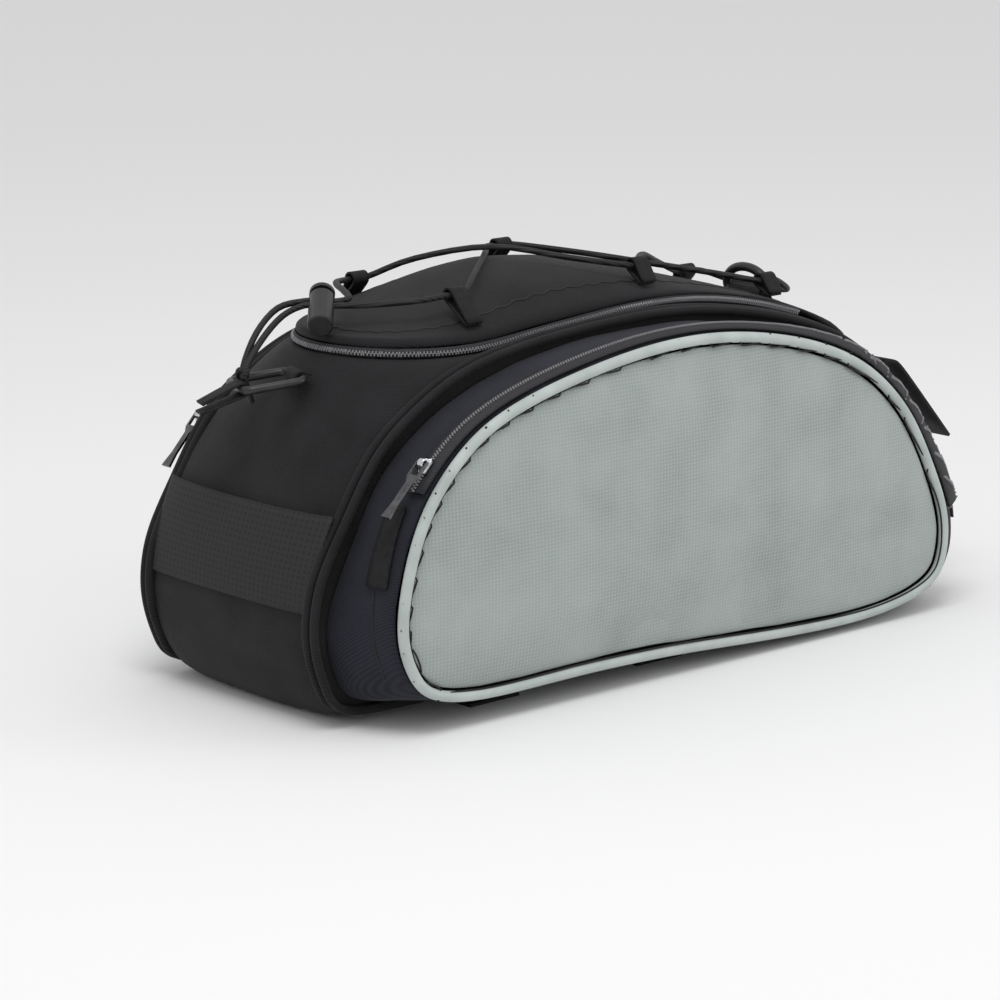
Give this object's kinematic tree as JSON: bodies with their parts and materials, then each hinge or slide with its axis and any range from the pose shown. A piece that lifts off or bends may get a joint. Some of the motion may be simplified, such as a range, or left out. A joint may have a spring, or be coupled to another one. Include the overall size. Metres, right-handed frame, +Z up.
{
  "type": "bicycle trunk bag",
  "caption": "Padded bicycle trunk bag with a domed zip lid laced with elastic cord, an expanded zip pouch on its left side and a flat one on its right.",
  "frame": {"origin": "under the middle of the body, on the surface that the base straps rest on", "axes": "+X to the bag's rear, -Y to its left side with the expanded pouch, +Z up"},
  "size_m": [0.4369, 0.183, 0.1947],
  "materials": {
    "black_cloth": "matte twill",
    "black_mesh": "open knit mesh",
    "dark_zip": "woven tape with plastic coil",
    "grey_cloth": "matte woven with a small dot pattern",
    "grey_piping": "smooth bound piping",
    "webbing": "ribbed webbing",
    "elastic_cord": "braided elastic",
    "black_plastic": "satin moulded",
    "chrome_slider": "polished",
    "gunmetal_pull": "dark plated"
  },
  "bodies": {
    "bag": {"body_shell": "black_cloth", "cord_lock_barrel": "black_plastic", "front_base_strap": "webbing", "front_pocket": "black_mesh", "front_ring": "black_plastic", "front_strap": "webbing", "front_tab": "webbing", "left_edge_piping": "black_cloth", "left_front_loop": "webbing", "left_middle_loop": "webbing", "left_pouch_gusset": "black_cloth", "left_pouch_panel": "grey_cloth", "left_pouch_piping": "grey_piping", "left_pouch_slider": "chrome_slider", "left_pouch_zip": "dark_zip", "left_rear_loop": "webbing", "lid_cord": "elastic_cord", "lid_shell": "black_cloth", "lid_slider": "chrome_slider", "lid_zip": "dark_zip", "middle_base_strap": "webbing", "rear_base_strap": "webbing", "rear_strap": "webbing", "rear_tab": "webbing", "right_edge_piping": "black_cloth", "right_front_loop": "webbing", "right_middle_loop": "webbing", "right_pouch_gusset": "black_cloth", "right_pouch_panel": "grey_cloth", "right_pouch_piping": "grey_piping", "right_pouch_slider": "chrome_slider", "right_pouch_zip": "dark_zip", "right_rear_loop": "webbing"},
    "left_pouch_pull_body": {"left_pouch_pull": "gunmetal_pull"},
    "right_pouch_pull_body": {"right_pouch_pull": "gunmetal_pull"},
    "lid_pull_body": {"lid_pull": "gunmetal_pull"},
    "lock_button_body": {"cord_lock_button": "black_plastic"},
    "rear_ring_body": {"rear_ring": "black_plastic"}
  },
  "joints": [
    {"name": "left_pouch_pull_hinge", "type": "hinge", "parent": "bag", "child": "left_pouch_pull_body", "pos_m": [-0.15998, -0.08995, 0.12156], "axis": [0, -1, 0], "range_deg": [-110, 0]},
    {"name": "right_pouch_pull_hinge", "type": "hinge", "parent": "bag", "child": "right_pouch_pull_body", "pos_m": [-0.16102, 0.0683, 0.1192], "axis": [0, -1, 0], "range_deg": [-110, 0]},
    {"name": "lid_pull_hinge", "type": "hinge", "parent": "bag", "child": "lid_pull_body", "pos_m": [0.05642, 0.05798, 0.16702], "axis": [-0.1255, 0.496, -0.8592], "range_deg": [-110, 0]},
    {"name": "lock_button_slide", "type": "slide", "parent": "bag", "child": "lock_button_body", "axis": [-0.6018, -0.6768, -0.4239], "range_m": [0, 0.002], "stiffness_N_per_m": 300, "springref_m": -0.002},
    {"name": "rear_ring_hinge", "type": "hinge", "parent": "bag", "child": "rear_ring_body", "pos_m": [0.13218, 0, 0.15202], "axis": [0, 1, 0], "range_deg": [-5, 45]}
  ]
}
